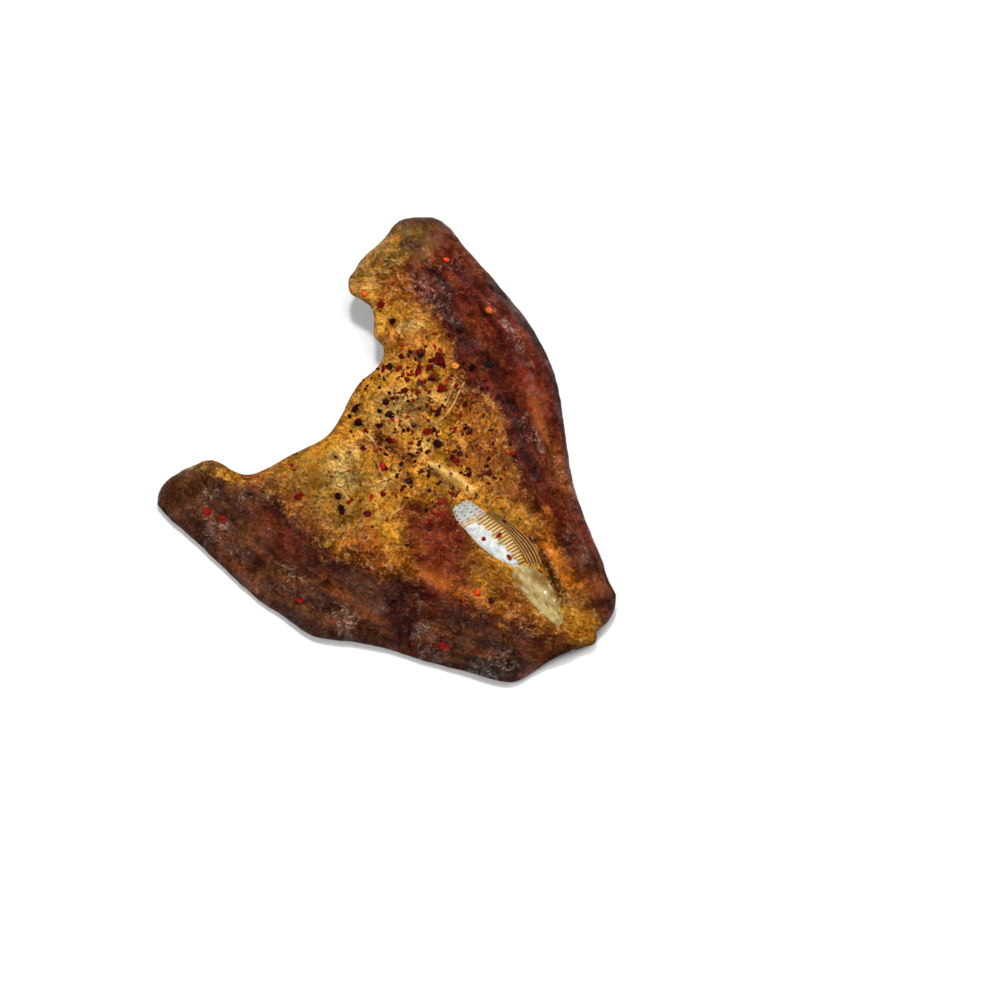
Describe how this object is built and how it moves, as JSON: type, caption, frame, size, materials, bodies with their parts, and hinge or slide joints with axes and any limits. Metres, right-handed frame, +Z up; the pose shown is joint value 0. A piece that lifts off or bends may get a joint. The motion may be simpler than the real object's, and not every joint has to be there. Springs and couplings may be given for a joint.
{
  "type": "dried fish fillet",
  "caption": "Small butterflied fish, boned, dried flat and lightly glazed, with crushed red chilli stuck to its open face.",
  "frame": {"origin": "on the surface the fish lies on, under the middle of its box", "axes": "+Z up, away from the skin; +Y from the tail towards the head end, along the belly line; +X towards the longer half, which lies on the right when seen from above with the tail at the bottom"},
  "size_m": [0.1122, 0.1232, 0.01],
  "materials": {
    "fish": "dried flesh, glossy, golden to dark red-brown",
    "dark_chilli": "toasted chilli skin, nearly black",
    "red_chilli": "dried chilli skin, dark red to bright red",
    "chilli_seed": "orange, oily"
  },
  "bodies": {
    "root": {"chilli_seed_01": "chilli_seed", "chilli_seed_02": "chilli_seed", "chilli_seed_03": "chilli_seed", "chilli_seed_04": "chilli_seed", "chilli_seed_05": "chilli_seed", "dark_flake_01": "dark_chilli", "dark_flake_02": "dark_chilli", "dark_flake_03": "dark_chilli", "dark_flake_04": "dark_chilli", "dark_flake_05": "dark_chilli", "dark_flake_06": "dark_chilli", "dark_flake_07": "dark_chilli", "dark_flake_08": "dark_chilli", "dark_flake_09": "dark_chilli", "dark_flake_10": "dark_chilli", "dark_flake_11": "dark_chilli", "dark_flake_12": "dark_chilli", "dark_flake_13": "dark_chilli", "dark_flake_14": "dark_chilli", "dark_flake_15": "dark_chilli", "dark_flake_16": "dark_chilli", "dark_flake_17": "dark_chilli", "dark_flake_18": "dark_chilli", "dark_flake_19": "dark_chilli", "dark_flake_20": "dark_chilli", "dark_flake_21": "dark_chilli", "dark_flake_22": "dark_chilli", "dark_flake_23": "dark_chilli", "dark_flake_24": "dark_chilli", "dried_fish": "fish", "red_flake_01": "red_chilli", "red_flake_02": "red_chilli", "red_flake_03": "red_chilli", "red_flake_04": "red_chilli", "red_flake_05": "red_chilli", "red_flake_06": "red_chilli", "red_flake_07": "red_chilli", "red_flake_08": "red_chilli", "red_flake_09": "red_chilli", "red_flake_10": "red_chilli", "red_flake_11": "red_chilli", "red_flake_12": "red_chilli", "red_flake_13": "red_chilli", "red_flake_14": "red_chilli", "red_flake_15": "red_chilli", "red_flake_16": "red_chilli", "red_flake_17": "red_chilli", "red_flake_18": "red_chilli", "red_flake_19": "red_chilli", "red_flake_20": "red_chilli", "red_flake_21": "red_chilli", "red_flake_22": "red_chilli", "red_flake_23": "red_chilli", "red_flake_24": "red_chilli", "red_flake_25": "red_chilli", "red_flake_26": "red_chilli", "red_flake_27": "red_chilli", "red_flake_28": "red_chilli"}
  },
  "joints": []
}
